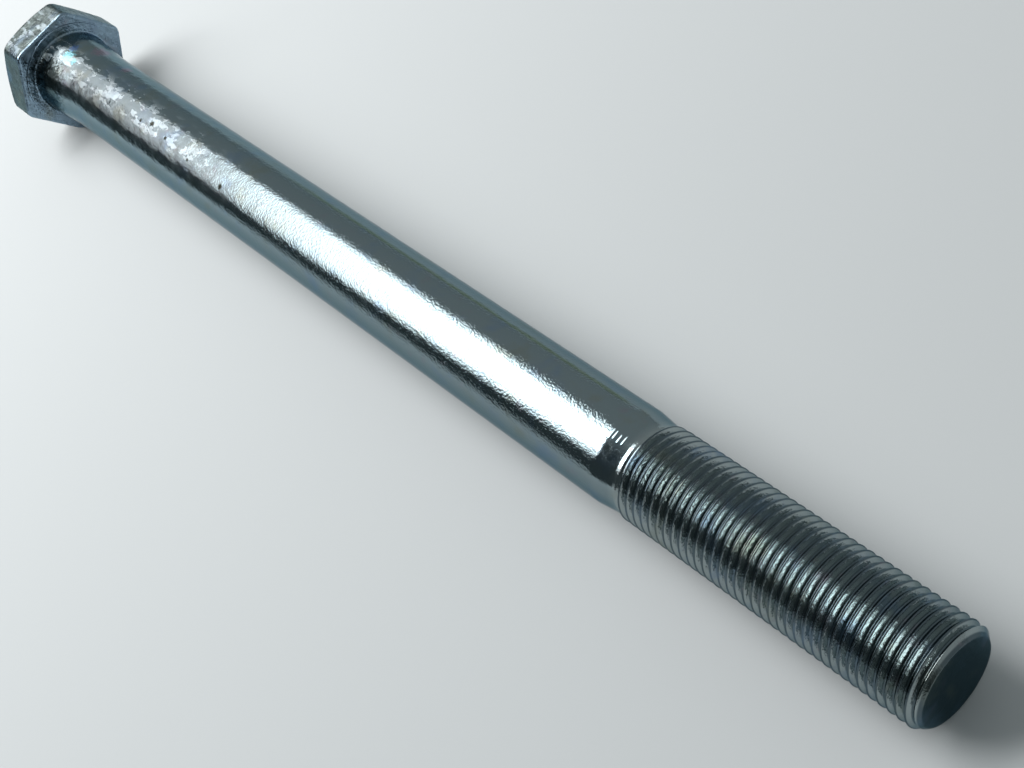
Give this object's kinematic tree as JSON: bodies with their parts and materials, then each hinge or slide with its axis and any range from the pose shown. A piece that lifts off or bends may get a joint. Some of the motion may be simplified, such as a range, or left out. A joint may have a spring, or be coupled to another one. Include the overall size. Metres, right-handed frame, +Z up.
{
  "type": "fender bolt",
  "caption": "Long zinc-plated hexagon bolt: chamfered head with a washer face, plain shank that swells a little towards the head and tapers to a short neck, and a fine right-hand thread up to the chamfered point.",
  "frame": {"origin": "centre of the bearing face under the head, on the bolt's axis", "axes": "+X along the bolt's axis from the head to the tip, +Z up when the bolt lies on a flat of its hexagon, +Y across two corners of the hexagon"},
  "size_m": [0.239, 0.0266, 0.0236],
  "materials": {
    "zinc_plated_steel": "bright zinc plate with a blue passivate, on forged and rolled steel"
  },
  "bodies": {
    "root": {"fender_bolt": "zinc_plated_steel"}
  },
  "joints": []
}
